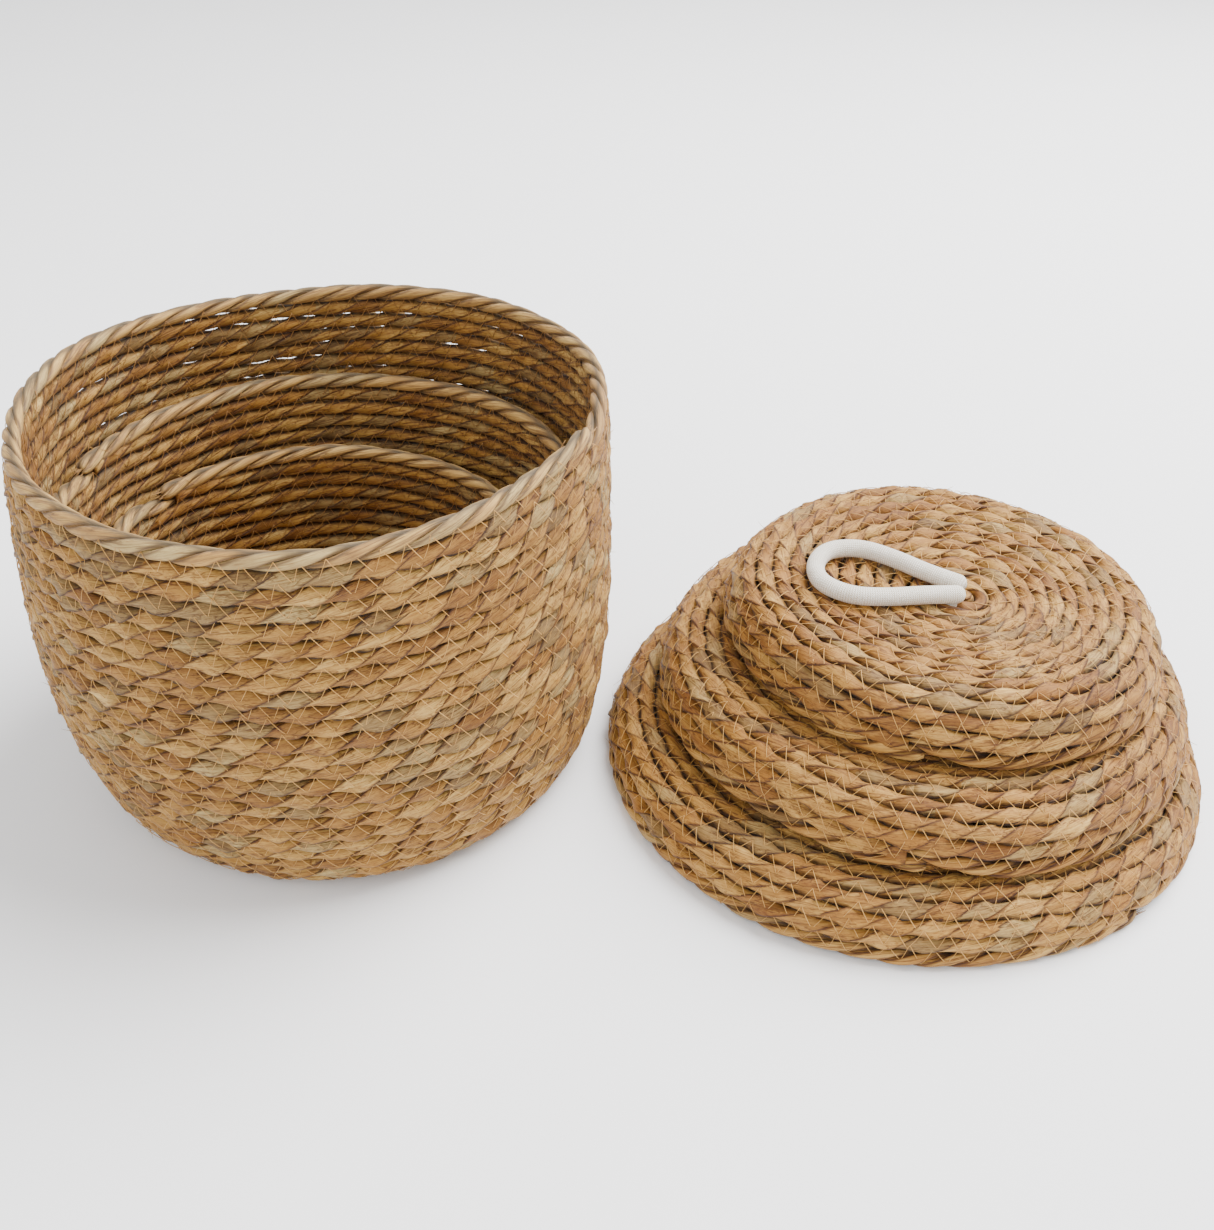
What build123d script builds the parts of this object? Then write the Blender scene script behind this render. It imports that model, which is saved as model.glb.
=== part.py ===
"""A nesting set of three round seagrass baskets with their three domed lids.

Each basket and lid is one flattened seagrass rope wound in a spiral and sewn row to row.  The
baskets stand one inside the other, and the lids lie in a stack beside them, largest at the bottom.
Sizes are in millimetres, +Z is up, and the origin is the centre of the large basket's underside.
"""

from build123d import *
from math import atan2, cos, degrees, radians, sin, tan
import os

# The rope, and how its rows sit in a wall
ROW_THICK = 8.0
VALLEY_THICK = 5.6
ROW_PITCH = 9.0
EDGE_HEIGHT = 9.2
SOFT_GAP = 0.4

# The rounded foot that every basket has
FOOT_RADIUS = 18.0
FOOT_TURN = 74.0
FOOT_ROWS = 5

# The rounded shoulder that every lid has
LID_HEIGHT = 36.0
SHOULDER_RADIUS = 18.0
SHOULDER_TURN = 60.0
SKIRT_TURN = 24.0

# The cotton loop handle, and where it leaves its lid
CORD_DIAMETER = 10.0
CORD_EXIT = (2.0, -12.0)
STRAND_SPACING = 10.4
SQUEEZED_DIAMETER = 7.0
KNOT_RADIUS = 7.0
KNOT_CENTRE_DEPTH = 14.0
LOOP_ROUTE = [
    (0.0, 5.2),
    (17.0, 10.5),
    (36.0, 19.5),
    (56.0, 25.0),
    (74.0, 17.5),
    (79.5, 0.0),
    (74.0, -17.5),
    (56.0, -25.0),
    (36.0, -19.5),
    (17.0, -10.5),
    (0.0, -5.2),
]

# Each basket: axis position, middle radius of the wall at the rim and at the belly, height of
# the belly, and height of the last wall row, both from the basket's own underside
BASKETS = {
    "large": {"at": (0.0, 0.0), "rim": 150.0, "belly": 154.0, "belly_z": 113.0, "wall_top": 209.8},
    "medium": {"at": (-3.9, -1.0), "rim": 135.0, "belly": 135.8, "belly_z": 85.0, "wall_top": 149.4},
    "small": {"at": (-12.0, -2.0), "rim": 110.0, "belly": 111.0, "belly_z": 62.0, "wall_top": 105.2},
}

# Each lid: axis position, outer radius at its lower edge, and the way its loop lies, in degrees
LIDS = {
    "large": {"at": (327.0, -28.0), "radius": 168.0, "loop_heading": 150.0},
    "medium": {"at": (333.0, -22.0), "radius": 149.0, "loop_heading": 185.0},
    "small": {"at": (342.0, -15.0), "radius": 121.5, "loop_heading": 164.0},
}

UP = (0, 0, 1)


def save(piece, name):
    """Label a finished piece and write it as one STEP file."""
    piece.part.label = name
    export_step(piece.part, f"parts/{name}.step")


def section_plane(centre):
    """The upright plane through a coil's axis: x runs outward and y runs up."""
    return Plane(origin=centre, x_dir=(1, 0, 0), z_dir=(0, -1, 0))


def beside(path, share, offset):
    """The point at a share of the path's length, moved sideways, to the left when positive."""
    point = path.position_at(share)
    along = path.tangent_at(share)
    return (point.X - along.Y * offset, point.Y + along.X * offset)


def row_bulges(path, shares, side):
    """Draw one bulge for each row along one side of the path."""
    for start, end in zip(shares, shares[1:]):
        crest = beside(path, (start + end) / 2, side * ROW_THICK / 2)
        low = side * VALLEY_THICK / 2
        ThreePointArc(beside(path, start, low), crest, beside(path, end, low))


def coil(path, rows, first, last, centre, flat_below=False):
    """Revolve rows first to last of a coiled wall whose middle line is path."""
    shares = [row / rows for row in range(first, last + 1)]
    left = VALLEY_THICK / 2
    right = -ROW_THICK / 2 if flat_below else -left
    with BuildPart() as rings:
        with BuildSketch(section_plane(centre)):
            with BuildLine():
                row_bulges(path, shares, 1)
                if flat_below:
                    Line(beside(path, shares[0], right), beside(path, shares[-1], right))
                else:
                    row_bulges(path, shares, -1)
                Line(beside(path, shares[0], left), beside(path, shares[0], right))
                Line(beside(path, shares[-1], left), beside(path, shares[-1], right))
            make_face()
        revolve(axis=Axis(centre, UP))
    return rings


def edge_coil(path, centre):
    """The last row of the rope, rounder than the rest, beyond the end of the path."""
    end = path.position_at(1)
    along = path.tangent_at(1)
    tip = (end.X + along.X * EDGE_HEIGHT, end.Y + along.Y * EDGE_HEIGHT)
    inner = beside(path, 1, VALLEY_THICK / 2)
    outer = beside(path, 1, -VALLEY_THICK / 2)
    with BuildPart() as ring:
        with BuildSketch(section_plane(centre)):
            with BuildLine():
                ThreePointArc(inner, tip, outer)
                Line(outer, inner)
            make_face()
        revolve(axis=Axis(centre, UP))
    return ring


def basket_lines(rim, belly, belly_z, wall_top):
    """The middle lines of a basket's flat base and of its wall, from the foot to the rim."""
    middle = ROW_THICK / 2
    turn = radians(FOOT_TURN)
    swell = (belly_z - middle - FOOT_RADIUS * (1 - cos(turn))) / cos(turn)
    base_radius = belly - swell * (1 - sin(turn)) - FOOT_RADIUS * sin(turn)
    lean = 2 * atan2(belly - rim, wall_top - belly_z)
    with BuildLine() as base:
        Line((0, middle), (base_radius, middle))
    with BuildLine() as wall:
        foot = JernArc((base_radius, middle), (1, 0), FOOT_RADIUS, FOOT_TURN)
        side = JernArc(foot @ 1, foot % 1, swell, 90 - FOOT_TURN)
        JernArc(side @ 1, side % 1, (wall_top - belly_z) / sin(lean), degrees(lean))
    return base.wire(), wall.wire()


def make_basket(size, at, rim, belly, belly_z, wall_top, floor_z):
    """The four coiled pieces of one basket."""
    centre = (at[0], at[1], floor_z)
    base, wall = basket_lines(rim, belly, belly_z, wall_top)
    base_rows = round(base.length / ROW_PITCH)
    wall_rows = round(wall.length / ROW_PITCH)
    save(coil(base, base_rows, 0, base_rows, centre, flat_below=True), f"{size}_base_coil")
    save(coil(wall, wall_rows, 0, FOOT_ROWS, centre), f"{size}_foot_coil")
    save(coil(wall, wall_rows, FOOT_ROWS, wall_rows, centre), f"{size}_wall_coil")
    save(edge_coil(wall, centre), f"{size}_rim_coil")
    print(size, "basket rows:", base_rows, "in the base,", wall_rows, "in the wall")


def lid_lines(radius):
    """The middle lines of a lid's flat top and of its side, from the shoulder to the hem."""
    middle = LID_HEIGHT - ROW_THICK / 2
    first = radians(SHOULDER_TURN)
    last = radians(SHOULDER_TURN + SKIRT_TURN)
    drop = middle - EDGE_HEIGHT * sin(last) - SHOULDER_RADIUS * (1 - cos(first))
    skirt_radius = drop / (cos(first) - cos(last))
    edge_reach = EDGE_HEIGHT * cos(last) / 2 + EDGE_HEIGHT / 2 + SOFT_GAP
    reach = SHOULDER_RADIUS * sin(first) + skirt_radius * (sin(last) - sin(first)) + edge_reach
    with BuildLine() as top:
        Line((0, middle), (radius - reach, middle))
    with BuildLine() as side:
        shoulder = JernArc((radius - reach, middle), (1, 0), SHOULDER_RADIUS, -SHOULDER_TURN)
        JernArc(shoulder @ 1, shoulder % 1, skirt_radius, -SKIRT_TURN)
    return top.wire(), side.wire()


def cord_plane(at, heading, height):
    """The level plane at the cord's exits: x runs along the loop and y across its strands."""
    origin = (at[0] + CORD_EXIT[0], at[1] + CORD_EXIT[1], height)
    way = radians(heading)
    return Plane(origin=origin, x_dir=(cos(way), sin(way), 0), z_dir=UP)


def make_lid_top(top, rows, centre, exits):
    """The flat top, with the slot that both ends of the cord go down through."""
    with BuildPart() as disc:
        add(coil(top, rows, 0, rows, centre).part)
        with BuildSketch(exits):
            SlotCenterToCenter(STRAND_SPACING, CORD_DIAMETER, rotation=90)
        extrude(amount=-ROW_THICK, mode=Mode.SUBTRACT)
    return disc


def make_knot(exits):
    """Both tails of the cord, side by side in the slot, each with a knot under the lid."""
    with BuildPart() as knot:
        with BuildSketch(exits):
            SlotCenterToCenter(STRAND_SPACING, CORD_DIAMETER, rotation=90)
        extrude(amount=-ROW_THICK)
        with BuildSketch(exits.offset(-ROW_THICK)):
            SlotCenterToCenter(STRAND_SPACING, SQUEEZED_DIAMETER, rotation=90)
        extrude(amount=-KNOT_RADIUS)
        with Locations(exits.offset(-KNOT_CENTRE_DEPTH)):
            with Locations((0, STRAND_SPACING / 2), (0, -STRAND_SPACING / 2)):
                Sphere(KNOT_RADIUS)
    return knot


def bend_radii(route):
    """The radius of each bend: as large as the two straight runs beside it allow."""
    radii = []
    for before, here, after in zip(route, route[1:], route[2:]):
        arriving = Vector(*here) - Vector(*before)
        leaving = Vector(*after) - Vector(*here)
        turn = radians(arriving.get_angle(leaving))
        radii.append(0.45 * min(arriving.length, leaving.length) / tan(turn / 2))
    return radii


def make_loop(level):
    """The loop that lies on the lid, with round ends over the two cord exits."""
    radii = bend_radii(LOOP_ROUTE)
    with BuildPart() as loop:
        with BuildLine(level) as route:
            FilletPolyline(*LOOP_ROUTE, radius=radii)
        with BuildSketch(Plane(origin=route.line @ 0, z_dir=route.line % 0)):
            Circle(CORD_DIAMETER / 2)
        sweep(path=route.line)
        with Locations(level):
            with Locations(LOOP_ROUTE[0], LOOP_ROUTE[-1]):
                Sphere(CORD_DIAMETER / 2)
    print("loop bend radii:", [round(value, 1) for value in radii])
    print("loop cord length:", round(route.wire().length, 1))
    return loop


def make_lid(size, at, radius, loop_heading, floor_z):
    """The three coiled pieces of one lid, its knotted tails and its loop handle."""
    centre = (at[0], at[1], floor_z)
    top, side = lid_lines(radius)
    top_rows = round(top.length / ROW_PITCH)
    side_rows = round(side.length / ROW_PITCH)
    exits = cord_plane(at, loop_heading, floor_z + LID_HEIGHT)
    save(make_lid_top(top, top_rows, centre, exits), f"{size}_lid_top_coil")
    save(coil(side, side_rows, 0, side_rows, centre), f"{size}_lid_side_coil")
    save(edge_coil(side, centre), f"{size}_lid_hem_coil")
    save(make_knot(exits), f"{size}_lid_cord_knot")
    save(make_loop(exits.offset(CORD_DIAMETER / 2 + SOFT_GAP)), f"{size}_lid_loop")
    print(size, "lid rows:", top_rows, "on top,", side_rows, "on the side")


os.makedirs("parts", exist_ok=True)

for below, (size, basket) in enumerate(BASKETS.items()):
    make_basket(size, floor_z=below * (ROW_THICK + SOFT_GAP), **basket)

for below, (size, lid) in enumerate(LIDS.items()):
    make_lid(size, floor_z=below * (LID_HEIGHT + SOFT_GAP), **lid)
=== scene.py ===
from math import atan2, cos, pi, radians, sin

import bpy
import numpy as np
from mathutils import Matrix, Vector


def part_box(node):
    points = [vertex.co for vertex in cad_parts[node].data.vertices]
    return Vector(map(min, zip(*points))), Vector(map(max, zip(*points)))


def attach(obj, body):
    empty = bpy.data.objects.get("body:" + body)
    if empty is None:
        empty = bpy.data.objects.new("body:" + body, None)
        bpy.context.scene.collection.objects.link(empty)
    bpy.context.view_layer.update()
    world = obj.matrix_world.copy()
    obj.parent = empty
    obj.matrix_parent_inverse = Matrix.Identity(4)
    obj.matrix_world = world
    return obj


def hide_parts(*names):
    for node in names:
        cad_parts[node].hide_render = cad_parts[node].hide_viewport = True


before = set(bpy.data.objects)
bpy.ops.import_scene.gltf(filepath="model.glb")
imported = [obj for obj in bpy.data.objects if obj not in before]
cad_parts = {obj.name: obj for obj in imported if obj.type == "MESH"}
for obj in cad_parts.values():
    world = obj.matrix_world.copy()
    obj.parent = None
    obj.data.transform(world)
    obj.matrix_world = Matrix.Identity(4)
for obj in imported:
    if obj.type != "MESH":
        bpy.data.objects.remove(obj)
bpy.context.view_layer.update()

MM = 0.001
TAU = 2 * pi

# The coil's middle line, as the frame has it
ROW_THICK = 8.0 * MM
ROW_PITCH = 9.0 * MM
EDGE_HEIGHT = 9.2 * MM
FOOT_RADIUS, FOOT_TURN, FOOT_ROWS = 18.0 * MM, radians(74.0), 5
SHOULDER_RADIUS, SHOULDER_TURN, SKIRT_TURN = 18.0 * MM, radians(60.0), radians(24.0)
BASKETS = {
    "large": {"rim": 150.0 * MM, "belly": 154.0 * MM, "belly_z": 113.0 * MM, "wall_top": 209.8 * MM},
    "medium": {"rim": 135.0 * MM, "belly": 135.8 * MM, "belly_z": 85.0 * MM, "wall_top": 149.4 * MM},
    "small": {"rim": 110.0 * MM, "belly": 111.0 * MM, "belly_z": 62.0 * MM, "wall_top": 105.2 * MM},
}
LID_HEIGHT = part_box("large_lid_top_coil")[1].z
LOOP_HEADINGS = {"large": radians(150.0), "medium": radians(185.0), "small": radians(164.0)}

# How the hand-made pieces are out of true: where a coil ends, then the size and direction of each fault
BASKET_START = {"large": radians(-17), "medium": radians(168), "small": radians(148)}
LID_START = {"large": radians(-57), "medium": radians(-102), "small": radians(-108)}
LOBES = {"large": 3.4 * MM, "medium": 1.2 * MM, "small": 1.6 * MM}
LOBES_TOWARDS = radians(-92)
BELLY_LEAN = 3.0 * MM
LID_RISE = {"large": 0.8 * MM, "medium": 2.9 * MM, "small": 3.4 * MM}
LID_TILT = {"large": 0.0, "medium": 0.018, "small": 0.038}
LID_SPREAD = {"large": 3.2 * MM, "medium": 0.4 * MM, "small": 0.0}
BASE_LIFT = 1.9 * MM
FOOT_SPREAD, FOOT_TOWARDS = 2.6 * MM, radians(-128)

# The coil: three leaf bundles laid up like a rope, pressed flat by the sewing
LAY = 60.0 * MM
ROW_UP, ROW_OUT = 2.0 * MM, 1.8 * MM
STRAND_WIDE, STRAND_DEEP = 4.7 * MM, 1.95 * MM
SHINGLE = radians(17.0)
EDGE_UP, EDGE_OUT = 2.6 * MM, 2.4 * MM
EDGE_WIDE, EDGE_DEEP = 3.1 * MM, 2.15 * MM
ROW_SHAPE = (ROW_UP, ROW_OUT, STRAND_WIDE, STRAND_DEEP)
EDGE_SHAPE = (EDGE_UP, EDGE_OUT, EDGE_WIDE, EDGE_DEEP)
SECTION_SIDES = 10
STEP = 2.6 * MM
RAMP_SHARE = 0.08

# The zigzag seam thread
STITCH_PERIOD = 11.5 * MM
STITCH_WIDTH = 10.0 * MM
THREAD_RADIUS = 0.21 * MM

# The cotton loops, with the frame's own route points: along the loop, then across it
CORD_DIAMETER = 10.0 * MM
CORD_EXIT = (2.0 * MM, -12.0 * MM)
TAIL_SPACING = 10.4 * MM
TAIL_LENGTH = 10.0 * MM
KNOT_REACH = 3.1 * MM
LOOP_DRIFT = (0.5 * MM, -6.0 * MM)
LOOP_LIFT = 2.2 * MM
LOOP_END = 0.35 * CORD_DIAMETER
TAIL_INWARD = 4.0 * MM
KNOT_DROP = 6.0 * MM
TAIL_THINNER, KNOT_THINNER = 0.9 * MM, 1.2 * MM
LOOP_ROUTE = [
    (0.0, 5.2), (17.0, 10.5), (36.0, 19.5), (56.0, 25.0), (74.0, 17.5), (79.5, 0.0),
    (74.0, -17.5), (56.0, -25.0), (36.0, -19.5), (17.0, -10.5), (0.0, -5.2),
]

WHITE = (1.0, 1.0, 1.0, 1.0)

rng = np.random.default_rng(7)


# ---------------------------------------------------------------- middle lines


class Meridian:
    """A coiled wall's middle line, from the axis outward, as radius, height and heading."""

    def __init__(self, height, runs, spans, side):
        step = 0.1 * MM
        lengths = np.array([length for length, _ in runs] + [30 * MM])
        turns = np.array([turn for _, turn in runs] + [0.0])
        ends = np.concatenate([[0], np.cumsum(lengths)])
        self.along = np.arange(0, ends[-1], step)
        self.heading = np.interp(self.along, ends, np.concatenate([[0], np.cumsum(turns)]))
        middle = (self.heading[1:] + self.heading[:-1]) / 2
        self.radius = np.concatenate([[0], np.cumsum(np.cos(middle))]) * step
        self.height = height + np.concatenate([[0], np.cumsum(np.sin(middle))]) * step
        rows = [0]
        reach = [0.0]
        for length, count in spans:
            rows.append(rows[-1] + count)
            reach.append(reach[-1] + length)
        self.rows = rows
        self.row_marks = rows + [rows[-1] + 3]
        self.reach_marks = reach + [reach[-1] + 3 * ROW_PITCH]
        self.side = side

    def at(self, row, extra=0.0):
        """Radius, height and heading at a row number, moved on by some distance."""
        reach = np.interp(row, self.row_marks, self.reach_marks) + extra
        lines = (self.radius, self.height, self.heading)
        return tuple(np.interp(reach, self.along, values) for values in lines)


def basket_meridian(size):
    """The same middle line as the frame's basket: flat base, rounded foot, swelling wall."""
    rim, belly, belly_z, wall_top = (BASKETS[size][key] for key in ("rim", "belly", "belly_z", "wall_top"))
    middle = ROW_THICK / 2
    swell = (belly_z - middle - FOOT_RADIUS * (1 - cos(FOOT_TURN))) / cos(FOOT_TURN)
    base = belly - swell * (1 - sin(FOOT_TURN)) - FOOT_RADIUS * sin(FOOT_TURN)
    lean = 2 * atan2(belly - rim, wall_top - belly_z)
    wall_runs = [
        (FOOT_RADIUS * FOOT_TURN, FOOT_TURN),
        (swell * (pi / 2 - FOOT_TURN), pi / 2 - FOOT_TURN),
        ((wall_top - belly_z) / sin(lean) * lean, lean),
    ]
    wall = sum(length for length, _ in wall_runs)
    spans = [(base, round(base / ROW_PITCH)), (wall, round(wall / ROW_PITCH))]
    return Meridian(middle, [(base, 0.0)] + wall_runs, spans, side=-1)


def lid_meridian(size):
    """The same middle line as the frame's lid: flat top, rounded shoulder, flaring skirt."""
    low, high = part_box(f"{size}_lid_top_coil")
    top = (high.x - low.x) / 2
    middle = LID_HEIGHT - ROW_THICK / 2
    last = SHOULDER_TURN + SKIRT_TURN
    drop = middle - EDGE_HEIGHT * sin(last) - SHOULDER_RADIUS * (1 - cos(SHOULDER_TURN))
    skirt = drop / (cos(SHOULDER_TURN) - cos(last))
    side_runs = [(SHOULDER_RADIUS * SHOULDER_TURN, -SHOULDER_TURN), (skirt * SKIRT_TURN, -SKIRT_TURN)]
    length = sum(run for run, _ in side_runs)
    spans = [(top, round(top / ROW_PITCH)), (length, round(length / ROW_PITCH))]
    return Meridian(middle, [(top, 0.0)] + side_runs, spans, side=1)


# ---------------------------------------------------------------- winding the coil


def smooth(x):
    x = np.clip(x, 0, 1)
    return x * x * (3 - 2 * x)


class Waves:
    """A smooth random curve round a circle or along a line, the same every run."""

    def __init__(self, waves, size):
        self.waves = [(wave, rng.uniform(0, TAU), size * rng.uniform(0.5, 1.0)) for wave in waves]

    def __call__(self, x):
        return sum(height * np.sin(wave * x + phase) for wave, phase, height in self.waves)


class Coil:
    """One basket's or lid's rope: a spiral that climbs one row in a short stretch of each turn."""

    def __init__(self, meridian, centre, start, uneven, shift=None):
        self.meridian = meridian
        self.centre = centre
        self.start = start
        self.radial = Waves((2, 3, 5), uneven)
        self.upright = Waves((2, 3, 4), uneven * 0.7)
        self.row_radial = Waves((2.3, 5.7, 11.3), 0.35 * MM)
        self.shift = shift or (lambda azimuth, radius, height: (0.0, 0.0, 0.0))

    def climb(self, share, strength):
        """How far between two rows the spiral is, at a share of one turn."""
        ends = 0.5 * smooth(share / RAMP_SHARE) + 0.5 * smooth((share - 1) / RAMP_SHARE + 1)
        return (1 - strength) * share + strength * ends

    def turns(self, first, last, step, offset=0.0):
        """Row numbers and turned angles along the spiral, from row first to row last."""
        rows, angles = [], []
        for row in range(first, last):
            radius = max(float(self.meridian.at(row + 0.5 + offset)[0]), 2 * MM)
            share = np.arange(max(int(TAU * radius / step), 8)) / max(int(TAU * radius / step), 8)
            strength = float(smooth((row - 1) / 8))
            rows.append(row + offset + self.climb(share, strength))
            angles.append(TAU * (row + share))
        return np.concatenate(rows), np.concatenate(angles)

    def place(self, rows, angles, extra=0.0):
        """Points, up-the-wall and outward directions of the spiral."""
        radius, height, heading = self.meridian.at(rows, extra)
        azimuth = angles + self.start
        around = np.stack([np.cos(azimuth), np.sin(azimuth), np.zeros_like(azimuth)], 1)
        upright = np.array([0, 0, 1.0])
        lateral = np.cos(heading)[:, None] * around + np.sin(heading)[:, None] * upright
        normal = -np.sin(heading)[:, None] * around + np.cos(heading)[:, None] * upright
        side = self.meridian.side
        grow = np.clip(radius / (60 * MM), 0, 1)
        bulge = (self.radial(azimuth) + self.row_radial(angles)) * grow
        lift = self.upright(azimuth) * np.abs(np.sin(heading)) * grow
        dx, dy, dz = self.shift(azimuth, radius, height)
        points = (radius + bulge * np.abs(np.sin(heading)))[:, None] * around
        points[:, 2] += height + lift + dz
        points[:, 0] += dx
        points[:, 1] += dy
        return points + np.array(self.centre), -side * lateral, side * normal


def arc_length(points):
    steps = np.linalg.norm(np.diff(points, axis=0), axis=1)
    return np.concatenate([[0], np.cumsum(steps)])


# ---------------------------------------------------------------- meshes


def build_mesh(name, verts, faces, values=None, vectors=None):
    """A smooth mesh object from arrays, with named values on its points."""
    mesh = bpy.data.meshes.new(name)
    corners = faces.shape[1]
    mesh.vertices.add(len(verts))
    mesh.vertices.foreach_set("co", verts.astype(np.float32).ravel())
    mesh.loops.add(faces.size)
    mesh.loops.foreach_set("vertex_index", faces.astype(np.int32).ravel())
    mesh.polygons.add(len(faces))
    mesh.polygons.foreach_set("loop_start", np.arange(0, faces.size, corners, dtype=np.int32))
    mesh.polygons.foreach_set("use_smooth", np.ones(len(faces), bool))
    for key, array in (values or {}).items():
        mesh.attributes.new(key, "FLOAT", "POINT").data.foreach_set("value", array.astype(np.float32).ravel())
    for key, array in (vectors or {}).items():
        attribute = mesh.attributes.new(key, "FLOAT_VECTOR", "POINT")
        attribute.data.foreach_set("vector", array.astype(np.float32).ravel())
    mesh.update(calc_edges=True)
    piece = bpy.data.objects.new(name, mesh)
    bpy.context.scene.collection.objects.link(piece)
    return piece


def tube_faces(rings, sides, first=0):
    """Faces that join each ring of points to the next, with a fan of quads closing each end."""
    i, j = np.meshgrid(np.arange(rings - 1), np.arange(sides), indexing="ij")
    a = first + i * sides + j
    b = first + i * sides + (j + 1) % sides
    walls = np.stack([a, b, b + sides, a + sides], -1).reshape(-1, 4)
    fan = np.arange(1, sides - 2, 2)
    start = np.stack([0 * fan, fan + 2, fan + 1, fan], 1) + first
    end = np.stack([0 * fan, fan, fan + 1, fan + 2], 1) + first + (rings - 1) * sides
    return np.concatenate([walls, start, end])


class Bundle:
    """Collects tubes into the arrays of one mesh."""

    def __init__(self):
        self.verts, self.faces, self.values, self.vectors, self.count = [], [], {}, {}, 0

    def add(self, rings, values, vectors):
        total, sides = rings.shape[:2]
        self.faces.append(tube_faces(total, sides, self.count))
        self.verts.append(rings.reshape(-1, 3))
        for key, array in values.items():
            self.values.setdefault(key, []).append(array.ravel())
        for key, array in vectors.items():
            self.vectors.setdefault(key, []).append(array.reshape(-1, 3))
        self.count += total * sides

    def mesh(self, name):
        values = {key: np.concatenate(parts) for key, parts in self.values.items()}
        vectors = {key: np.concatenate(parts) for key, parts in self.vectors.items()}
        return build_mesh(name, np.concatenate(self.verts), np.concatenate(self.faces), values, vectors)


def leaf_values(phase, values, width=0.12):
    """One value for each leaf, which changes over where a strand dives under the next row."""
    index = np.floor(phase).astype(int)
    edge = smooth((phase - index - (1 - width)) / width)
    return values[index % len(values)] * (1 - edge) + values[(index + 1) % len(values)] * edge


def rope_strands(points, up, out, shape, tilt=0.0, size=1.0, leaves=2, pale=0.0, flat=0.0):
    """Three leaf bundles laid up along a line of points.

    Shape is the rope's reach up and out, then a strand's half width and half depth. Flat is how much more
    the outside is pressed flat than the inside.
    """
    length = arc_length(points)
    reach_up, reach_out, wide, deep = shape
    alpha = TAU * np.arange(SECTION_SIDES) / SECTION_SIDES
    rise = cos(tilt) * up - sin(tilt) * out
    face = sin(tilt) * up + cos(tilt) * out
    wander = Waves((21, 47, 83), 0.2)
    breathe = Waves((31, 67), 0.03)
    size = size * (1 + breathe(length))
    for strand in range(3):
        ragged = Waves((430, 710, 1130), 0.018)
        phase = TAU * (length / LAY + strand / 3) + wander(length)
        leaf = leaves * (phase / TAU + 0.25)
        count = int(leaf[-1]) + 4
        tone = leaf_values(leaf, rng.uniform(0, 1, count))
        hue = leaf_values(leaf, rng.uniform(0, 1, count), 0.02)
        seed = np.floor(leaf + 0.04) + 7.3 * strand
        fat = 1 + 0.15 * leaf_values(leaf, rng.uniform(-1, 1, count), 0.4) + ragged(length)
        proud = 0.3 * MM * leaf_values(leaf, rng.uniform(-1, 1, count), 0.4)
        roll = radians(12) * leaf_values(leaf, rng.uniform(-1, 1, count), 0.4)
        swing, dive = np.sin(phase), np.cos(phase)
        reach = reach_up * size * (1 - flat * dive)
        middle = points + (reach * swing)[:, None] * rise
        middle += ((reach_out * size + proud) * dive)[:, None] * face
        slope = np.arctan2(swing, dive) + roll
        major = np.cos(slope)[:, None] * rise - np.sin(slope)[:, None] * face
        minor = np.sin(slope)[:, None] * rise + np.cos(slope)[:, None] * face
        half_wide = wide * size * fat * (0.78 + 0.22 * dive**2 + 0.4 * flat * dive)
        half_deep = deep * size
        rings = (
            middle[:, None]
            + (half_wide[:, None] * np.cos(alpha))[..., None] * major[:, None]
            + (half_deep[:, None] * np.sin(alpha))[..., None] * minor[:, None]
        )
        everywhere = rings.shape[:2]
        high = np.abs(((rings - points[:, None]) * face[:, None]).sum(-1)) / (reach_out + deep)
        across = ((rings - middle[:, None]) * rise[:, None]).sum(-1)
        through = ((rings - middle[:, None]) * face[:, None]).sum(-1)
        fibre = np.stack([np.broadcast_to(length[:, None], everywhere), across, through], -1)
        values = {
            "tone": np.broadcast_to(np.clip(tone + pale, 0, 1)[:, None], everywhere),
            "hue": np.broadcast_to(hue[:, None], everywhere),
            "seed": np.broadcast_to(seed[:, None], everywhere),
            "proud": np.clip(high, 0, 1),
            "rib": np.broadcast_to(np.abs(np.cos(alpha))[None], everywhere),
        }
        yield rings, values, {"fibre": fibre}


def part_of(strand, first, last):
    """The stretch of a strand between two of its rings."""
    rings, values, vectors = strand
    values = {key: array[first:last] for key, array in values.items()}
    return rings[first:last], values, {key: array[first:last] for key, array in vectors.items()}


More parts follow.
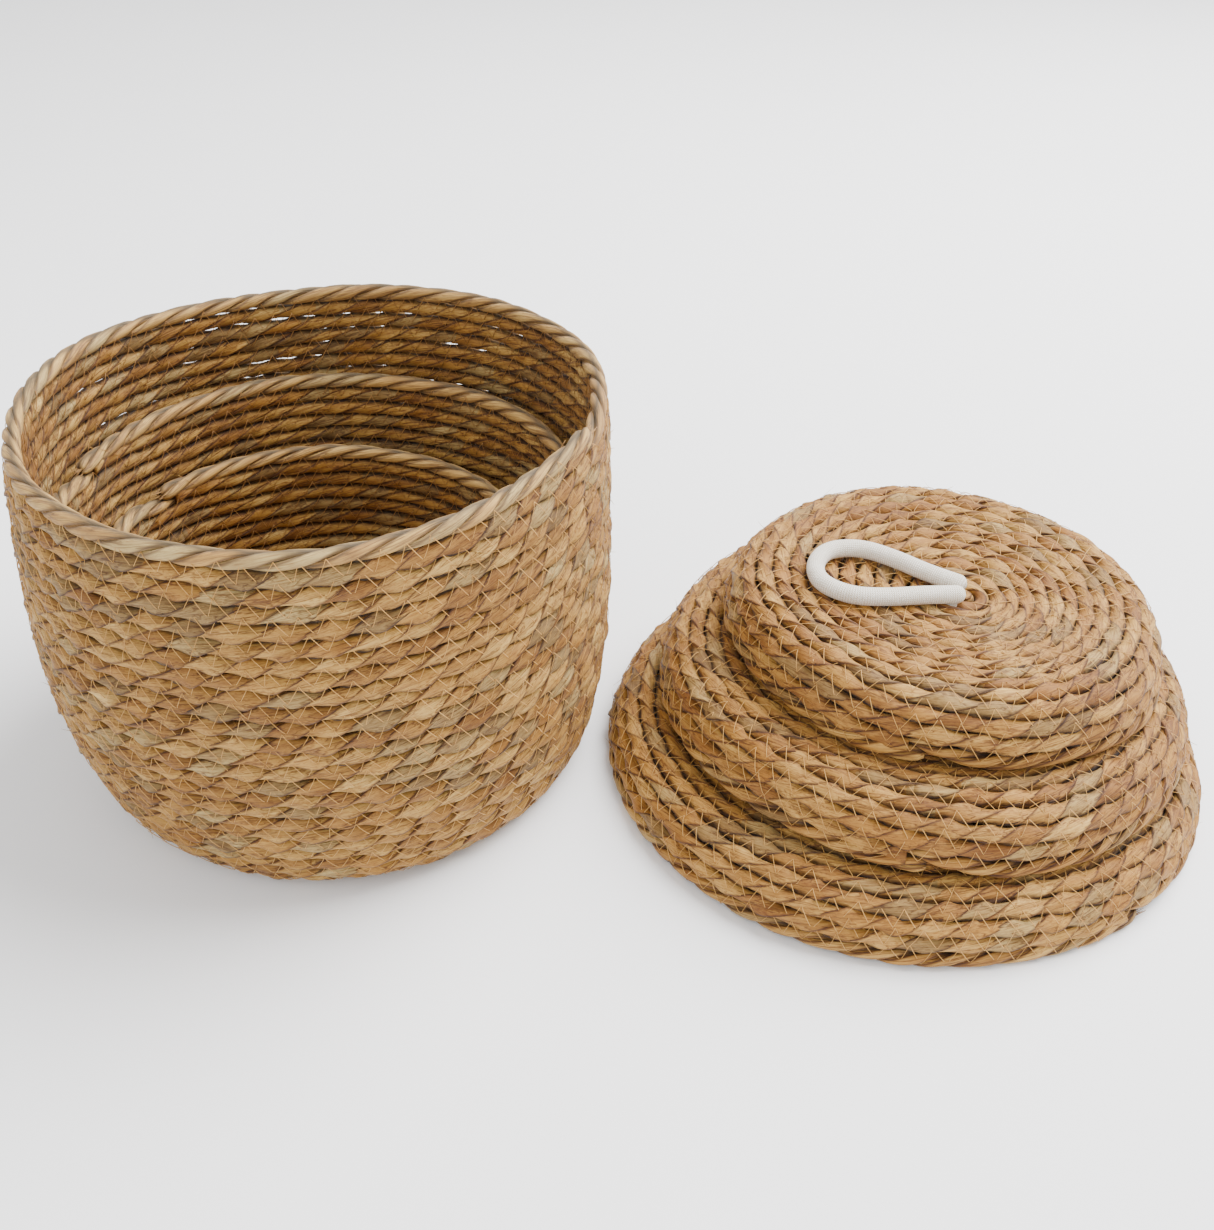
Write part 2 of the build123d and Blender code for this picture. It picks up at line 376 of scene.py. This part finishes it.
def add_zigzag(bundle, points, up, out, face):
    """One stitch after another across a seam, on the outside (face 1) or the inside (-1)."""
    length = arc_length(points)
    count = int(length[-1] / STITCH_PERIOD)
    begin = STITCH_PERIOD * (np.arange(count) + rng.normal(0, 0.05, count))
    corner = begin + STITCH_PERIOD * (0.6 + rng.normal(0, 0.03, count))
    high = STITCH_WIDTH * (0.5 + rng.normal(0, 0.04, count))
    low = -STITCH_WIDTH * (0.5 + rng.normal(0, 0.04, count))
    ends = np.append(begin[1:], length[-1])
    strokes = [
        (begin, corner, high, low, THREAD_RADIUS),
        (corner, ends, low, np.append(high[1:], high[-1]), THREAD_RADIUS * 0.7),
    ]
    shares = np.array([0.0, 0.2, 0.5, 0.8, 1.0])
    depth = np.array([3.4, 4.3, 4.45, 4.3, 3.4]) * MM
    for start, end, top, bottom, radius in strokes:
        along = start[:, None] + (end - start)[:, None] * shares
        across = top[:, None] + (bottom - top)[:, None] * shares
        flat = along.ravel()
        base = np.stack([np.interp(flat, length, points[:, k]) for k in range(3)], 1)
        lift = np.stack([np.interp(flat, length, up[:, k]) for k in range(3)], 1)
        push = np.stack([np.interp(flat, length, out[:, k]) for k in range(3)], 1) * face
        deep = np.broadcast_to(depth + rng.normal(0, 0.12 * MM, (len(start), 1)), along.shape)
        line = base + across.ravel()[:, None] * lift + deep.reshape(-1, 1) * push
        line = line.reshape(len(start), len(shares), 3)
        push = push.reshape(line.shape)
        run = line[:, -1] - line[:, 0]
        run = (run / np.maximum(np.linalg.norm(run, axis=1, keepdims=True), 1e-9))[:, None]
        sideways = np.cross(np.broadcast_to(run, line.shape), push)
        angle = TAU * np.arange(4) / 4
        rings = (
            line[:, :, None]
            + radius * np.cos(angle)[:, None] * sideways[:, :, None]
            + radius * np.sin(angle)[:, None] * push[:, :, None]
        )
        bundle.add_many(rings)


class ThreadBundle(Bundle):
    """Many short tubes at once."""

    def add_many(self, rings):
        tubes, count, sides = rings.shape[:3]
        one = tube_faces(count, sides)
        shift = (np.arange(tubes) * count * sides + self.count)[:, None, None]
        self.faces.append((one[None] + shift).reshape(-1, 4))
        self.verts.append(rings.reshape(-1, 3))
        self.count += rings.size // 3


# ---------------------------------------------------------------- materials


def linear(red, green, blue):
    """A display colour, 0 to 255, as the shader's linear colour."""
    def one(value):
        value = value / 255
        return value / 12.92 if value <= 0.04045 else ((value + 0.055) / 1.055) ** 2.4
    return (one(red), one(green), one(blue), 1.0)


class Nodes:
    """Short calls for building a material's node tree."""

    def __init__(self, name):
        self.material = bpy.data.materials.new(name)
        self.material.use_nodes = True
        self.tree = self.material.node_tree
        self.shader = self.tree.nodes["Principled BSDF"]

    def new(self, kind, inputs=None, **settings):
        node = self.tree.nodes.new(kind)
        for key, value in settings.items():
            setattr(node, key, value)
        for key, value in (inputs or {}).items():
            if isinstance(value, bpy.types.NodeSocket):
                self.tree.links.new(value, node.inputs[key])
            else:
                node.inputs[key].default_value = value
        return node

    def value(self, name):
        return self.new("ShaderNodeAttribute", attribute_name=name).outputs["Fac"]

    def vector(self, name):
        return self.new("ShaderNodeAttribute", attribute_name=name).outputs["Vector"]

    def math(self, kind, a, b=0.0, c=0.0):
        return self.new("ShaderNodeMath", {0: a, 1: b, 2: c}, operation=kind).outputs[0]

    def ramp(self, factor, stops):
        node = self.new("ShaderNodeValToRGB", {"Fac": factor})
        elements = node.color_ramp.elements
        while len(elements) < len(stops):
            elements.new(0.5)
        for element, (position, colour) in zip(elements, stops):
            element.position = position
            element.color = colour
        return node.outputs["Color"]

    def mix(self, kind, factor, a, b):
        node = self.new("ShaderNodeMix", data_type="RGBA", blend_type=kind)
        for index, value in ((0, factor), (6, a), (7, b)):
            if isinstance(value, bpy.types.NodeSocket):
                self.tree.links.new(value, node.inputs[index])
            else:
                node.inputs[index].default_value = value
        return node.outputs[2]

    def scaled(self, vector, scale):
        node = self.new("ShaderNodeVectorMath", {0: vector, 1: scale}, operation="MULTIPLY")
        return node.outputs[0]

    def noise(self, vector, scale, detail=3.0, rough=0.55):
        inputs = {"Vector": vector, "Scale": scale, "Detail": detail, "Roughness": rough}
        return self.new("ShaderNodeTexNoise", inputs).outputs["Fac"]

    def noise4(self, vector, seed, scale, detail, rough):
        inputs = {"Vector": vector, "W": seed, "Scale": scale, "Detail": detail, "Roughness": rough}
        return self.new("ShaderNodeTexNoise", inputs, noise_dimensions="4D").outputs["Fac"]

    def finish(self, colour, roughness, height, bump, distance, specular=0.3, sheen=0.0):
        self.tree.links.new(colour, self.shader.inputs["Base Color"])
        if isinstance(roughness, bpy.types.NodeSocket):
            self.tree.links.new(roughness, self.shader.inputs["Roughness"])
        else:
            self.shader.inputs["Roughness"].default_value = roughness
        self.shader.inputs["Specular IOR Level"].default_value = specular
        self.shader.inputs["Sheen Weight"].default_value = sheen
        inputs = {"Height": height, "Strength": bump, "Distance": distance}
        normal = self.new("ShaderNodeBump", inputs).outputs["Normal"]
        self.tree.links.new(normal, self.shader.inputs["Normal"])
        return self.material


def seagrass(name, warm, pale):
    """Dried leaf blades: each leaf has its own tan, with fine lengthwise fibres."""
    n = Nodes(name)
    fibre, seed = n.vector("fibre"), n.value("seed")
    streaks = n.noise4(n.scaled(fibre, (60.0, 2100.0, 2100.0)), seed, 1.0, 3.0, 0.6)
    blades = n.noise4(n.scaled(fibre, (8.0, 330.0, 330.0)), seed, 1.0, 2.0, 0.5)
    blotch = n.noise4(n.scaled(fibre, (60.0, 130.0, 130.0)), seed, 1.0, 3.0, 0.55)
    away = n.math("ABSOLUTE", n.math("SUBTRACT", blades, 0.5))
    edges = n.ramp(away, [(0.0, (0.0, 0.0, 0.0, 1.0)), (0.03, (1, 1, 1, 1))])
    leaf = n.ramp(
        n.math("ADD", n.math("MULTIPLY", n.value("tone"), 0.46), n.math("MULTIPLY", blades, 0.62)),
        [
            (0.08, linear(112, 72, 27)),
            (0.30, linear(138, 95, 39)),
            (0.52, linear(163, 122, 57)),
            (0.76, linear(185, 148, 79)),
            (0.95, linear(206, 175, 108)),
        ],
    )
    green = n.ramp(n.value("tone"), [(0.0, linear(118, 100, 62)), (1.0, linear(162, 144, 98))])
    greenness = n.math("MULTIPLY", n.math("GREATER_THAN", n.value("hue"), 0.8), 0.62)
    colour = n.mix("MIX", greenness, leaf, green)
    orange = n.math("MULTIPLY", n.math("LESS_THAN", n.value("hue"), 0.22), 0.3)
    colour = n.mix("MIX", orange, colour, linear(172, 122, 44))
    dark_streaks = n.ramp(streaks, [(0.32, linear(190, 164, 132)), (0.56, (1, 1, 1, 1))])
    colour = n.mix("MULTIPLY", 1.0, colour, dark_streaks)
    colour = n.mix("MULTIPLY", 0.75, colour, n.mix("MIX", edges, linear(138, 98, 62), WHITE))
    dark_patches = n.ramp(blotch, [(0.3, linear(196, 172, 142)), (0.52, (1, 1, 1, 1))])
    colour = n.mix("MULTIPLY", 0.7, colour, dark_patches)
    # Painted shade: the colour darkens to dark brown where a strand's surface lies deep in the rope, between
    # its neighbours.
    painted_recess_shade = n.ramp(n.value("proud"), [(0.05, linear(70, 44, 24)), (0.6, (1, 1, 1, 1))])
    colour = n.mix("MULTIPLY", 0.95, colour, painted_recess_shade)
    # Painted shade: each strand's two long sides, where it meets its neighbours, are darkened to brown.
    painted_crease_shade = n.ramp(n.value("rib"), [(0.8, (1, 1, 1, 1)), (1.0, linear(112, 74, 42))])
    colour = n.mix("MULTIPLY", 0.95, colour, painted_crease_shade)
    colour = n.mix("MULTIPLY", 1.0, colour, warm)
    colour = n.mix("MIX", pale, colour, linear(216, 190, 142))
    height = n.math("ADD", streaks, n.math("MULTIPLY", edges, 0.7))
    rough = n.math("ADD", 0.5, n.math("MULTIPLY", streaks, 0.3))
    return n.finish(colour, rough, height, 0.5, 0.0006, specular=0.3, sheen=0.05)


def thread_material(name, dark, light):
    n = Nodes(name)
    place = n.new("ShaderNodeTexCoord").outputs["Object"]
    patch = n.noise(place, 60.0)
    colour = n.ramp(patch, [(0.3, dark), (0.7, light)])
    twist = n.noise(place, 2600.0)
    return n.finish(colour, 0.55, twist, 0.4, 0.0002, specular=0.4)


def cotton_material():
    """Knitted cotton cord: fine ribs along it, each a row of slanting stitches."""
    n = Nodes("cotton_cord")
    parts = n.new("ShaderNodeSeparateXYZ", {0: n.vector("knit")})
    around = n.math("ARCTAN2", parts.outputs[2], parts.outputs[1])
    rib = n.math("SINE", n.math("MULTIPLY", around, 13.0))
    along = n.math("MULTIPLY", parts.outputs[0], TAU / (1.25 * MM))
    stitch = n.math("SINE", n.math("ADD", along, n.math("MULTIPLY", n.math("ABSOLUTE", rib), 3.1)))
    place = n.new("ShaderNodeTexCoord").outputs["Object"]
    fuzz = n.noise(place, 1700.0, 4.0)
    knit = n.math("MULTIPLY", n.math("ADD", stitch, 1.0), n.math("ADD", n.math("ABSOLUTE", rib), 0.4))
    height = n.math("ADD", n.math("MULTIPLY", knit, 0.3), n.math("MULTIPLY", fuzz, 0.6))
    patch = n.ramp(n.noise(place, 90.0), [(0.3, linear(248, 242, 230)), (0.7, linear(254, 250, 242))])
    shade = n.ramp(n.math("MULTIPLY", knit, 0.36), [(0.0, linear(204, 192, 170)), (0.5, (1, 1, 1, 1))])
    colour = n.mix("MULTIPLY", 0.85, patch, shade)
    return n.finish(colour, 0.85, height, 0.8, 0.0007, specular=0.2, sheen=0.3)


def stage_material():
    n = Nodes("studio_floor")
    place = n.new("ShaderNodeTexCoord").outputs["Object"]
    patch = n.noise(place, 1.3)
    colour = n.ramp(patch, [(0.3, linear(246, 246, 247)), (0.7, linear(249, 249, 250))])
    return n.finish(colour, 0.6, patch, 0.0, 0.001, specular=0.2)


BASKET_GRASS = seagrass("seagrass_basket", WHITE, 0.0)
RIM_GRASS = seagrass("seagrass_rim", WHITE, 0.1)
LID_GRASS = seagrass("seagrass_lid", linear(255, 248, 238), 0.0)
THREAD = thread_material("sewing_thread", linear(176, 128, 62), linear(198, 154, 88))
# Painted shade: a darker, browner copy of the thread for the inside seams, which lie in shadow.
SHADED_THREAD = thread_material("sewing_thread_inside_painted_shade", linear(132, 90, 42), linear(160, 116, 62))
COTTON = cotton_material()


def settle(piece, body, slot, material, *nodes):
    """Give a piece its material, and let it ride on its body in the CAD nodes' place. Its slot is not used.
    """
    piece.data.materials.append(material)
    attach(piece, body)
    if nodes:
        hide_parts(*nodes)
    return piece


# ---------------------------------------------------------------- baskets and lids


def make_rows(coil, body, slot, material, parts):
    """The whole coil as one rope, shared out between pieces.

    Each part is a piece's name, its last row and the CAD node that it stands for.
    """
    rows, angles = coil.turns(0, parts[-1][1], STEP)
    strands = list(rope_strands(*coil.place(rows, angles), ROW_SHAPE, SHINGLE, flat=0.2))
    first = 0
    for name, last_row, node in parts:
        last = int(np.searchsorted(angles, TAU * last_row))
        bundle = Bundle()
        for strand in strands:
            bundle.add(*part_of(strand, max(first - 1, 0), last))
        settle(bundle.mesh(name), body, slot, material, node)
        first = last


def make_edge(coil, name, body, slot, material, node, tone_shift):
    """The last turn of the rope, rounder than the rest, from where it leaves the wall to its cut end."""
    last = coil.meridian.rows[-1]
    radius = float(coil.meridian.at(last)[0])
    count = int(TAU * radius * 1.03 / STEP)
    share = np.linspace(-0.005, 1.008, count)
    sink = 7.5 * MM * (1 - smooth((share + 0.005) / 0.06))
    extra = EDGE_HEIGHT / 2 - sink
    rows = np.full(count, float(last))
    points, up, out = coil.place(rows, TAU * share, extra)
    taper = 0.35 + 0.65 * smooth((share + 0.005) / 0.02) * smooth((1.012 - share) / 0.01)
    bundle = Bundle()
    for strand in rope_strands(points, up, out, EDGE_SHAPE, 0.0, taper, 1, tone_shift):
        bundle.add(*strand)
    onward = (points[-1] - points[-4]) / np.linalg.norm(points[-1] - points[-4])
    reach = np.linspace(-2, 1, 6)[:, None]
    for _ in range(16):
        sideways = rng.normal(0, 1.3, 2) * MM
        spread = sideways[0] * up[-1] + sideways[1] * out[-1]
        line = points[-1] + reach * rng.uniform(3, 7) * MM * onward + (1 + 0.25 * reach) * spread
        add_leaf(bundle, line, rng.uniform(0.4, 0.8) * MM, rng.uniform(0.0, 0.3))
    return settle(bundle.mesh(name), body, slot, material, node)


def make_seams(coil, name, body, slot, first, last, face):
    """The zigzag thread over every seam between two rows."""
    bundle = ThreadBundle()
    rows, angles = coil.turns(first, last, 4 * STEP, offset=0.5)
    add_zigzag(bundle, *coil.place(rows, angles), face)
    # The inside seams take the thread copy with painted shade.
    return settle(bundle.mesh(name), body, slot, THREAD if face > 0 else SHADED_THREAD)


def add_leaf(bundle, line, radius, tone):
    """One thin loose strip of leaf along a line, narrowing to a point."""
    rings = tube_rings(line, radius * np.linspace(1, 0.25, len(line)), 4)
    everywhere = rings.shape[:2]
    values = {
        "tone": np.full(everywhere, tone),
        "hue": np.full(everywhere, 0.5),
        "seed": np.full(everywhere, 40.0 * tone),
        "proud": np.ones(everywhere),
        "rib": np.zeros(everywhere),
    }
    bundle.add(rings, values, {"fibre": rings - line[0]})


def make_fibres(coil, name, body, slot, material, first, count):
    """Stray leaf fibres that stand out of the coil's outside."""
    bundle = Bundle()
    rows = rng.uniform(first, coil.meridian.rows[-1], count)
    share = np.linspace(0, 1, 8)[:, None]
    for point, rise, face in zip(*coil.place(rows, TAU * rows)):
        length = rng.uniform(5, 17) * MM
        heading = rng.choice((-1, 1)) * np.cross(rise, face) + rng.uniform(-0.7, 0.7) * rise
        stand = rng.uniform(1.0, 4.5) * MM * share ** rng.uniform(1.3, 2.2)
        curl = rng.uniform(-0.35, 0.35) * length * share**2 * rise
        line = point + 3.5 * MM * face + length * share * heading + stand * face + curl
        line[:, 2] = np.maximum(line[:, 2], 0.5 * MM)
        add_leaf(bundle, line, rng.uniform(0.12, 0.32) * MM, rng.uniform(0.35, 1.0))
    return settle(bundle.mesh(name), body, slot, material)


def basket_faults(size):
    """How far a basket's points are from a true round.

    The rim has three lobes, the belly leans left, the foot spreads, and the base is just clear of the floor.
    """
    top = BASKETS[size]["wall_top"]
    spread = FOOT_SPREAD if size == "large" else 0.0

    def move(azimuth, radius, height):
        share = np.clip(height / top, 0, 1)
        lobes = LOBES[size] * np.cos(3 * (azimuth - LOBES_TOWARDS)) * share**1.5
        lean = -BELLY_LEAN * np.sin(pi * share) * (LOBES[size] / LOBES["large"])
        toward = 0.5 + 0.5 * np.cos(azimuth - FOOT_TOWARDS)
        sag = spread * toward * (1 - share) * radius / BASKETS[size]["rim"]
        clear = BASE_LIFT * (1 - smooth(share / 0.3))
        return (lobes + sag) * np.cos(azimuth) + lean, (lobes + sag) * np.sin(azimuth), clear

    return move


def lid_faults(size):
    """A lid sits a little high and leans down to the right, with its hem out of round to the left."""
    centre = np.array([CORD_EXIT[0] + 4 * MM, CORD_EXIT[1] - 3 * MM])
    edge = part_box(f"{size}_lid_hem_coil")
    reach = (edge[1].x - edge[0].x) / 2

    def move(azimuth, radius, height):
        share = np.clip(radius / reach, 0, 1)
        inward = 1 - smooth(share / 0.8)
        spread = LID_SPREAD[size] * (0.4 - np.cos(azimuth)) * share**2
        rise = LID_RISE[size] - LID_TILT[size] * radius * np.cos(azimuth)
        dx = centre[0] * inward + spread * np.cos(azimuth)
        dy = centre[1] * inward + spread * np.sin(azimuth)
        return dx, dy, rise + 0 * height

    return move


def make_basket(size):
    body = f"{size}_basket"
    low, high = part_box(f"{size}_rim_coil")
    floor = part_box(f"{size}_base_coil")[0].z
    centre = ((low.x + high.x) / 2, (low.y + high.y) / 2, floor)
    meridian = basket_meridian(size)
    coil = Coil(meridian, centre, BASKET_START[size], 1.0 * MM, basket_faults(size))
    base, top = meridian.rows[1], meridian.rows[2]
    foot = base + FOOT_ROWS
    lower, upper = foot + (top - foot) // 3, foot + 2 * (top - foot) // 3
    grass = "seagrass_basket"
    parts = [
        (f"{size}_basket_base_rope", base, f"{size}_base_coil"),
        (f"{size}_basket_foot_rope", foot, f"{size}_foot_coil"),
        (f"{size}_basket_lower_wall_rope", lower, f"{size}_wall_coil"),
        (f"{size}_basket_middle_wall_rope", upper, f"{size}_wall_coil"),
        (f"{size}_basket_upper_wall_rope", top, f"{size}_wall_coil"),
    ]
    make_rows(coil, body, grass, BASKET_GRASS, parts)
    make_edge(coil, f"{size}_basket_rim_rope", body, "seagrass_rim", RIM_GRASS, f"{size}_rim_coil", 0.4)
    for level, first, last in (("lower", 1, lower), ("upper", lower, top)):
        make_seams(coil, f"{size}_basket_{level}_outer_seams", body, grass, first, last, 1)
        make_seams(coil, f"{size}_basket_{level}_inner_seams", body, grass, first, last, -1)
    if size == "large":
        make_fibres(coil, "large_basket_stray_fibres", body, grass, BASKET_GRASS, base + 1, 80)


def make_lid(size):
    body = f"{size}_lid"
    low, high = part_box(f"{size}_lid_hem_coil")
    centre = ((low.x + high.x) / 2, (low.y + high.y) / 2, low.z)
    meridian = lid_meridian(size)
    coil = Coil(meridian, centre, LID_START[size], 0.9 * MM, lid_faults(size))
    top, side = meridian.rows[1], meridian.rows[2]
    grass = "seagrass_lid"
    parts = [
        (f"{size}_lid_top_rope", top, f"{size}_lid_top_coil"),
        (f"{size}_lid_side_rope", side, f"{size}_lid_side_coil"),
    ]
    make_rows(coil, body, grass, LID_GRASS, parts)
    make_edge(coil, f"{size}_lid_hem_rope", body, grass, LID_GRASS, f"{size}_lid_hem_coil", 0.25)
    make_seams(coil, f"{size}_lid_outer_seams", body, grass, 1, side, 1)
    make_seams(coil, f"{size}_lid_inner_seams", body, grass, 1, side, -1)
    exposed = 2 if size == "small" else top + 1
    make_fibres(coil, f"{size}_lid_stray_fibres", body, grass, LID_GRASS, exposed, 45)


# ---------------------------------------------------------------- cotton loops


def tube_rings(path, radius, sides=20):
    """Rings of points round a path, carried along it without twisting."""
    path = np.asarray(path, float)
    tangent = np.gradient(path, axis=0)
    tangent /= np.linalg.norm(tangent, axis=1, keepdims=True)
    side = np.cross(tangent[0], (0.0, 0.0, 1.0))
    if np.linalg.norm(side) < 0.1:
        side = np.cross(tangent[0], (1.0, 0.0, 0.0))
    sides_list = []
    for direction in tangent:
        side = side - direction * (side @ direction)
        side = side / np.linalg.norm(side)
        sides_list.append(side)
    side = np.array(sides_list)
    lift = np.cross(side, tangent)
    alpha = TAU * np.arange(sides) / sides
    radius = np.broadcast_to(radius, (len(path),))[:, None, None]
    return path[:, None] + radius * (
        np.cos(alpha)[None, :, None] * side[:, None] + np.sin(alpha)[None, :, None] * lift[:, None]
    )


def add_cord(bundle, path, radius, round_ends=False):
    """A knitted cord along a path, with its stitches numbered along and round it."""
    length = arc_length(path)
    radius = np.full(len(path), radius)
    if round_ends:
        gap = np.minimum(length, length[-1] - length)
        radius *= np.sqrt(np.clip(1 - (1 - np.clip(gap / radius, 0.02, 1)) ** 2, 0.03, 1))
    rings = tube_rings(path, radius)
    sides = rings.shape[1]
    around = np.broadcast_to(TAU * np.arange(sides) / sides, rings.shape[:2])
    knit = np.stack([np.broadcast_to(length[:, None], rings.shape[:2]), np.cos(around), np.sin(around)], -1)
    bundle.add(rings, {}, {"knit": knit})


def loop_line(size, exits, heading):
    """The centreline of a loop: a smooth curve through the route's points, lying on its lid."""
    curve = bpy.data.curves.new(f"{size}_loop_route", "CURVE")
    curve.dimensions = "3D"
    curve.resolution_u = 16
    spline = curve.splines.new("NURBS")
    spline.points.add(len(LOOP_ROUTE) - 1)
    for point, (along, across) in zip(spline.points, LOOP_ROUTE):
        x = exits[0] + (along * cos(heading) - across * sin(heading)) * MM
        y = exits[1] + (along * sin(heading) + across * cos(heading)) * MM
        point.co = (x, y, exits[2], 1.0)
    spline.order_u = 3
    spline.use_endpoint_u = True
    holder = bpy.data.objects.new(f"{size}_loop_route", curve)
    bpy.context.scene.collection.objects.link(holder)
    bpy.context.view_layer.update()
    mesh = bpy.data.meshes.new_from_object(holder)
    line = np.array([vertex.co for vertex in mesh.vertices])
    bpy.data.objects.remove(holder)
    bpy.data.curves.remove(curve)
    bpy.data.meshes.remove(mesh)
    return line


def even(path, step):
    """The same path with its points a set distance apart."""
    length = arc_length(path)
    count = max(int(length[-1] / step), 2)
    where = np.linspace(0, length[-1], count)
    return np.stack([np.interp(where, length, path[:, k]) for k in range(3)], 1)


def make_loop(size):
    """A lid's cotton loop, and the knots on its two tails under the lid."""
    low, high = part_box(f"{size}_lid_hem_coil")
    loop_low, loop_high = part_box(f"{size}_lid_loop")
    heading = LOOP_HEADINGS[size]
    rise = LID_RISE[size]
    exits = (
        (low.x + high.x) / 2 + CORD_EXIT[0] + LOOP_DRIFT[0],
        (low.y + high.y) / 2 + CORD_EXIT[1] + LOOP_DRIFT[1],
        (loop_low.z + loop_high.z) / 2 + rise,
    )
    line = even(loop_line(size, exits, heading), 1.6 * MM)
    lift = LOOP_LIFT * np.sin(pi * np.linspace(0, 1, len(line))) ** 2
    line[:, 2] += lift
    bundle = Bundle()
    add_cord(bundle, end_beyond(line, LOOP_END), CORD_DIAMETER / 2, round_ends=True)
    loop = bundle.mesh(f"{size}_lid_cotton_loop")
    settle(loop, f"{size}_lid_loop", "cotton_cord", COTTON, f"{size}_lid_loop")
    path = [tuple(float(value) for value in point) for point in line]
    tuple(path[0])
    bundle = Bundle()
    across = np.array([-sin(heading), cos(heading), 0.0]) * TAIL_SPACING / 2
    inward = np.array([cos(heading), sin(heading), 0.0]) * TAIL_INWARD
    for side in (1, -1):
        top = np.array(exits) + side * across + inward
        straight = top - np.array([0, 0, 1.0]) * np.linspace(0.4, 1, 12)[:, None] * TAIL_LENGTH
        turn = np.linspace(0, TAU, 60)
        knot = np.stack(
            [
                np.sin(turn) + 2 * np.sin(2 * turn),
                np.cos(turn) - 2 * np.cos(2 * turn),
                -np.sin(3 * turn),
            ],
            1,
        )
        knot = knot / 3 * KNOT_REACH + straight[-1] - np.array([0, 0, KNOT_DROP])
        add_cord(bundle, straight, CORD_DIAMETER / 2 - TAIL_THINNER)
        add_cord(bundle, knot, CORD_DIAMETER / 2 - KNOT_THINNER)
    knots = bundle.mesh(f"{size}_lid_cotton_knots")
    settle(knots, f"{size}_lid", "cotton_cord", COTTON, f"{size}_lid_cord_knot")


def end_beyond(line, reach):
    """The path with both ends carried straight on by some distance."""
    first = line[0] + (line[0] - line[1]) / np.linalg.norm(line[0] - line[1]) * reach
    last = line[-1] + (line[-1] - line[-2]) / np.linalg.norm(line[-1] - line[-2]) * reach
    steps = np.linspace(0, 1, 6)[:, None]
    head = first + (line[0] - first) * steps[:-1]
    tail = line[-1] + (last - line[-1]) * steps[1:]
    return np.concatenate([head, line, tail])


for size in BASKETS:
    make_basket(size)
for size in LOOP_HEADINGS:
    make_lid(size)
    make_loop(size)


# ---------------------------------------------------------------- stage, light and camera


def make_stage():
    bpy.ops.mesh.primitive_plane_add(size=12.0, location=(0.15, 0.1, 0.0))
    floor = bpy.context.object
    floor.name = "studio_floor"
    floor.data.materials.append(stage_material())


def add_light(name, place, target, size, energy, colour=(1.0, 1.0, 1.0)):
    lamp = bpy.data.lights.new(name, "AREA")
    lamp.shape = "DISK"
    lamp.size = size
    lamp.energy = energy
    lamp.color = colour
    holder = bpy.data.objects.new(name, lamp)
    holder.location = place
    holder.rotation_euler = (Vector(target) - Vector(place)).to_track_quat("-Z", "Y").to_euler()
    bpy.context.scene.collection.objects.link(holder)


def make_lights():
    middle = (0.15, 0.0, 0.1)
    add_light("key", (1.5, 0.75, 2.2), middle, 2.6, 236.0)
    add_light("fill", (-0.7, -2.0, 1.8), middle, 2.4, 29.0)
    world = bpy.data.worlds.new("studio")
    world.use_nodes = True
    background = world.node_tree.nodes["Background"]
    background.inputs["Color"].default_value = (1.0, 1.0, 1.0, 1.0)
    background.inputs["Strength"].default_value = 1.2
    bpy.context.scene.world = world


def make_camera():
    """A camera at the viewing angle: it looks down on the floor midway between the two stacks."""
    pitch, distance = radians(35.4), 0.887
    target = Vector((0.1536, 0.1083, 0.0))
    camera = bpy.data.cameras.new("camera")
    camera.sensor_width = 36.0
    camera.lens = 38.05
    holder = bpy.data.objects.new("camera", camera)
    holder.location = target + distance * Vector((0.0, -cos(pitch), sin(pitch)))
    holder.rotation_euler = (pi / 2 - pitch, 0.0, 0.0)
    bpy.context.scene.collection.objects.link(holder)
    bpy.context.scene.camera = holder


make_stage()
make_lights()
make_camera()
